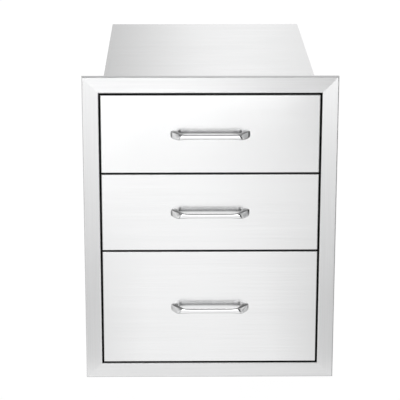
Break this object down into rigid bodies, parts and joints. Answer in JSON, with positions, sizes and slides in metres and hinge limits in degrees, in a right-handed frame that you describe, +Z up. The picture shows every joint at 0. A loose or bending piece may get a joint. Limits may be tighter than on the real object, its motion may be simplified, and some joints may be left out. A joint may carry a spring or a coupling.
{
  "type": "outdoor kitchen drawer unit",
  "caption": "Built-in stainless drawer unit for an outdoor kitchen island: a mitred face frame, a boxed cabinet and stacked drawers on full-extension ball slides.",
  "frame": {"origin": "centre of the cut-out, in the plane of the island's face", "axes": "+X to the user's right, +Y into the island, +Z up"},
  "size_m": [0.457, 0.648, 0.572],
  "materials": {
    "brushed_stainless": "brushed, number 4 grain",
    "plain_stainless": "satin mill finish",
    "slide_steel": "bright zinc plated",
    "polished_handle": "polished",
    "fastener_steel": "plain stainless",
    "lever_plastic": "moulded black",
    "bumper_rubber": "soft black"
  },
  "bodies": {
    "cabinet": {"frame_top_rail": "brushed_stainless", "frame_bottom_rail": "brushed_stainless", "frame_left_stile": "brushed_stainless", "frame_right_stile": "brushed_stainless", "left_panel": "plain_stainless", "right_panel": "plain_stainless", "top_panel": "plain_stainless", "bottom_panel": "plain_stainless", "back_panel": "plain_stainless", "top_left_outer_member": "slide_steel", "top_right_outer_member": "slide_steel", "middle_left_outer_member": "slide_steel", "middle_right_outer_member": "slide_steel", "bottom_left_outer_member": "slide_steel", "bottom_right_outer_member": "slide_steel", "slide_bumpers": "bumper_rubber"},
    "top_drawer": {"top_front": "brushed_stainless", "top_front_liner": "plain_stainless", "top_tray": "plain_stainless", "top_handle": "polished_handle", "top_handle_screws": "fastener_steel", "top_left_inner_member": "slide_steel", "top_right_inner_member": "slide_steel"},
    "top_middle_members": {"top_left_middle_member": "slide_steel", "top_right_middle_member": "slide_steel"},
    "top_outer_cages": {"top_outer_ball_cages": "slide_steel"},
    "top_inner_cages": {"top_inner_ball_cages": "slide_steel"},
    "top_left_lever": {"top_left_release_lever": "lever_plastic"},
    "top_right_lever": {"top_right_release_lever": "lever_plastic"},
    "middle_drawer": {"middle_front": "brushed_stainless", "middle_front_liner": "plain_stainless", "middle_tray": "plain_stainless", "middle_handle": "polished_handle", "middle_handle_screws": "fastener_steel", "middle_left_inner_member": "slide_steel", "middle_right_inner_member": "slide_steel"},
    "middle_middle_members": {"middle_left_middle_member": "slide_steel", "middle_right_middle_member": "slide_steel"},
    "middle_outer_cages": {"middle_outer_ball_cages": "slide_steel"},
    "middle_inner_cages": {"middle_inner_ball_cages": "slide_steel"},
    "middle_left_lever": {"middle_left_release_lever": "lever_plastic"},
    "middle_right_lever": {"middle_right_release_lever": "lever_plastic"},
    "bottom_drawer": {"bottom_front": "brushed_stainless", "bottom_front_liner": "plain_stainless", "bottom_tray": "plain_stainless", "bottom_handle": "polished_handle", "bottom_handle_screws": "fastener_steel", "bottom_left_inner_member": "slide_steel", "bottom_right_inner_member": "slide_steel"},
    "bottom_middle_members": {"bottom_left_middle_member": "slide_steel", "bottom_right_middle_member": "slide_steel"},
    "bottom_outer_cages": {"bottom_outer_ball_cages": "slide_steel"},
    "bottom_inner_cages": {"bottom_inner_ball_cages": "slide_steel"},
    "bottom_left_lever": {"bottom_left_release_lever": "lever_plastic"},
    "bottom_right_lever": {"bottom_right_release_lever": "lever_plastic"}
  },
  "joints": [
    {"name": "top_drawer_slide", "type": "slide", "parent": "cabinet", "child": "top_drawer", "axis": [0, -1, 0], "range_m": [0, 0.55]},
    {"name": "top_middle_slide", "type": "slide", "parent": "cabinet", "child": "top_middle_members", "axis": [0, -1, 0], "range_m": [0, 0.275]},
    {"name": "top_outer_cage_slide", "type": "slide", "parent": "cabinet", "child": "top_outer_cages", "axis": [0, -1, 0], "range_m": [0, 0.1375]},
    {"name": "top_inner_cage_slide", "type": "slide", "parent": "cabinet", "child": "top_inner_cages", "axis": [0, -1, 0], "range_m": [0, 0.4125]},
    {"name": "top_left_lever_pivot", "type": "hinge", "parent": "top_drawer", "child": "top_left_lever", "pos_m": [-0.1832, 0.3, 0.164], "axis": [1, 0, 0], "range_deg": [0, 8]},
    {"name": "top_right_lever_pivot", "type": "hinge", "parent": "top_drawer", "child": "top_right_lever", "pos_m": [0.1832, 0.3, 0.164], "axis": [1, 0, 0], "range_deg": [-8, 0]},
    {"name": "middle_drawer_slide", "type": "slide", "parent": "cabinet", "child": "middle_drawer", "axis": [0, -1, 0], "range_m": [0, 0.55]},
    {"name": "middle_middle_slide", "type": "slide", "parent": "cabinet", "child": "middle_middle_members", "axis": [0, -1, 0], "range_m": [0, 0.275]},
    {"name": "middle_outer_cage_slide", "type": "slide", "parent": "cabinet", "child": "middle_outer_cages", "axis": [0, -1, 0], "range_m": [0, 0.1375]},
    {"name": "middle_inner_cage_slide", "type": "slide", "parent": "cabinet", "child": "middle_inner_cages", "axis": [0, -1, 0], "range_m": [0, 0.4125]},
    {"name": "middle_left_lever_pivot", "type": "hinge", "parent": "middle_drawer", "child": "middle_left_lever", "pos_m": [-0.1832, 0.3, 0.018], "axis": [1, 0, 0], "range_deg": [0, 8]},
    {"name": "middle_right_lever_pivot", "type": "hinge", "parent": "middle_drawer", "child": "middle_right_lever", "pos_m": [0.1832, 0.3, 0.018], "axis": [1, 0, 0], "range_deg": [-8, 0]},
    {"name": "bottom_drawer_slide", "type": "slide", "parent": "cabinet", "child": "bottom_drawer", "axis": [0, -1, 0], "range_m": [0, 0.55]},
    {"name": "bottom_middle_slide", "type": "slide", "parent": "cabinet", "child": "bottom_middle_members", "axis": [0, -1, 0], "range_m": [0, 0.275]},
    {"name": "bottom_outer_cage_slide", "type": "slide", "parent": "cabinet", "child": "bottom_outer_cages", "axis": [0, -1, 0], "range_m": [0, 0.1375]},
    {"name": "bottom_inner_cage_slide", "type": "slide", "parent": "cabinet", "child": "bottom_inner_cages", "axis": [0, -1, 0], "range_m": [0, 0.4125]},
    {"name": "bottom_left_lever_pivot", "type": "hinge", "parent": "bottom_drawer", "child": "bottom_left_lever", "pos_m": [-0.1832, 0.3, -0.199], "axis": [1, 0, 0], "range_deg": [0, 8]},
    {"name": "bottom_right_lever_pivot", "type": "hinge", "parent": "bottom_drawer", "child": "bottom_right_lever", "pos_m": [0.1832, 0.3, -0.199], "axis": [1, 0, 0], "range_deg": [-8, 0]}
  ],
  "couplings": [
    {"joint": "top_middle_slide", "follows": "top_drawer_slide", "ratio": 0.5},
    {"joint": "top_outer_cage_slide", "follows": "top_drawer_slide", "ratio": 0.25},
    {"joint": "top_inner_cage_slide", "follows": "top_drawer_slide", "ratio": 0.75},
    {"joint": "top_right_lever_pivot", "follows": "top_left_lever_pivot", "ratio": -1},
    {"joint": "middle_middle_slide", "follows": "middle_drawer_slide", "ratio": 0.5},
    {"joint": "middle_outer_cage_slide", "follows": "middle_drawer_slide", "ratio": 0.25},
    {"joint": "middle_inner_cage_slide", "follows": "middle_drawer_slide", "ratio": 0.75},
    {"joint": "middle_right_lever_pivot", "follows": "middle_left_lever_pivot", "ratio": -1},
    {"joint": "bottom_middle_slide", "follows": "bottom_drawer_slide", "ratio": 0.5},
    {"joint": "bottom_outer_cage_slide", "follows": "bottom_drawer_slide", "ratio": 0.25},
    {"joint": "bottom_inner_cage_slide", "follows": "bottom_drawer_slide", "ratio": 0.75},
    {"joint": "bottom_right_lever_pivot", "follows": "bottom_left_lever_pivot", "ratio": -1}
  ]
}
